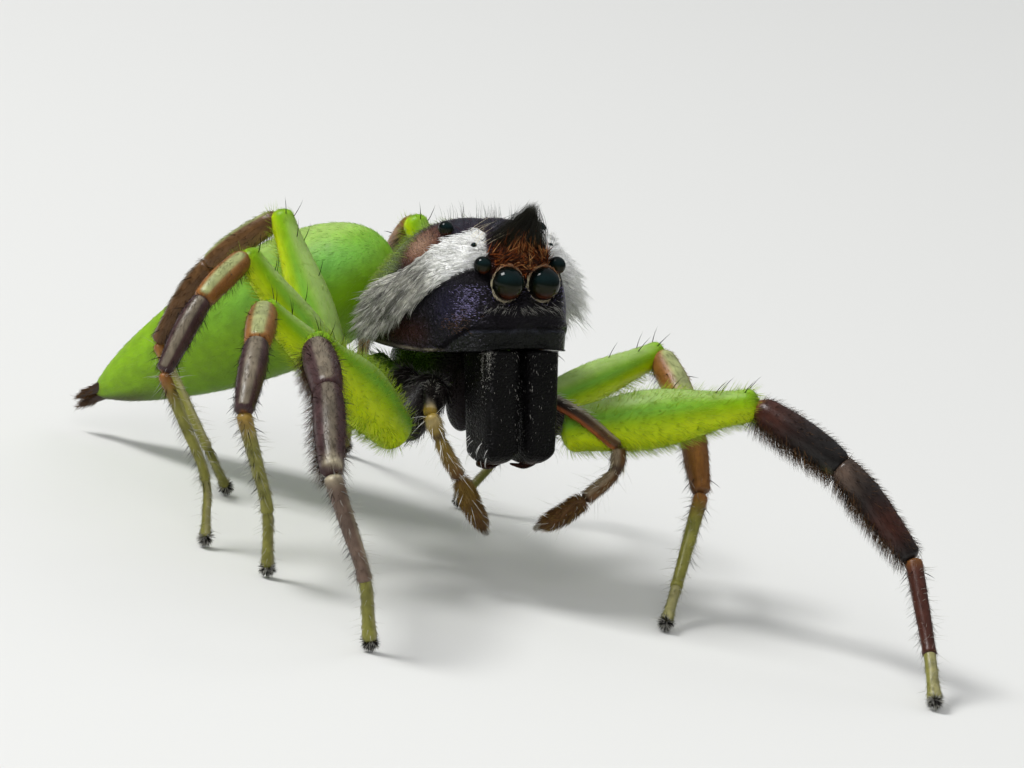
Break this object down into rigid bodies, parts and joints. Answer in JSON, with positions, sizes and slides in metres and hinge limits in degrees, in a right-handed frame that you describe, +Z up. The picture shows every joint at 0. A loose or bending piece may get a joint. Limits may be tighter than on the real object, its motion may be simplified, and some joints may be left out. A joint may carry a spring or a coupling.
{
  "type": "jumping spider",
  "caption": "Life-size still model of a standing green jumping spider with raised head, white side whiskers and a pointed crest.",
  "frame": {"origin": "on the floor under the middle of the whole figure's outline, legs included", "axes": "+Z up from the floor, -Y the way the head faces, +X towards the spider's left side"},
  "size_m": [0.0154, 0.0194, 0.0086],
  "materials": {
    "eyes": "deep gloss, dark green-black",
    "carapace": "semi-gloss cuticle, dark purple-brown, green on the rear slope",
    "jaws": "semi-gloss black cuticle with fine ridges",
    "whiskers": "dense white hair",
    "crest": "dark upright hair",
    "underside": "satin cuticle",
    "palps": "hairy yellow-brown cuticle",
    "thighs": "translucent bright green cuticle, satin",
    "front_shanks": "dark red-brown cuticle with a pale stripe and black fringes",
    "shanks": "brown cuticle with a pale stripe",
    "feet": "yellow-green cuticle with dark claw tufts",
    "spinnerets": "dark brown, hairy",
    "abdomen": "short bright green hair over soft skin"
  },
  "bodies": {
    "root": {"abdomen": "abdomen", "carapace": "carapace", "chelicera_L": "jaws", "chelicera_R": "jaws", "coxa_L1": "thighs", "coxa_L2": "thighs", "coxa_L3": "thighs", "coxa_L4": "thighs", "coxa_R1": "thighs", "coxa_R2": "thighs", "coxa_R3": "thighs", "coxa_R4": "thighs", "crest": "crest", "eye_front_L": "eyes", "eye_front_R": "eyes", "eye_rear_L": "eyes", "eye_rear_R": "eyes", "eye_side_L": "eyes", "eye_side_R": "eyes", "eye_small_L": "eyes", "eye_small_R": "eyes", "fang_L": "jaws", "fang_R": "jaws", "femur_L1": "thighs", "femur_L2": "thighs", "femur_L3": "thighs", "femur_L4": "thighs", "femur_R1": "thighs", "femur_R2": "thighs", "femur_R3": "thighs", "femur_R4": "thighs", "foot_L1": "feet", "foot_L2": "feet", "foot_L3": "feet", "foot_L4": "feet", "foot_R1": "feet", "foot_R2": "feet", "foot_R3": "feet", "foot_R4": "feet", "palp_femur_L": "palps", "palp_femur_R": "palps", "palp_shank_L": "palps", "palp_shank_R": "palps", "palp_tip_L": "palps", "palp_tip_R": "palps", "pedicel": "abdomen", "shank_L1": "front_shanks", "shank_L2": "shanks", "shank_L3": "shanks", "shank_L4": "shanks", "shank_R1": "front_shanks", "shank_R2": "shanks", "shank_R3": "shanks", "shank_R4": "shanks", "spinnerets": "spinnerets", "underside": "underside", "whisker_L": "whiskers", "whisker_R": "whiskers"}
  },
  "joints": []
}
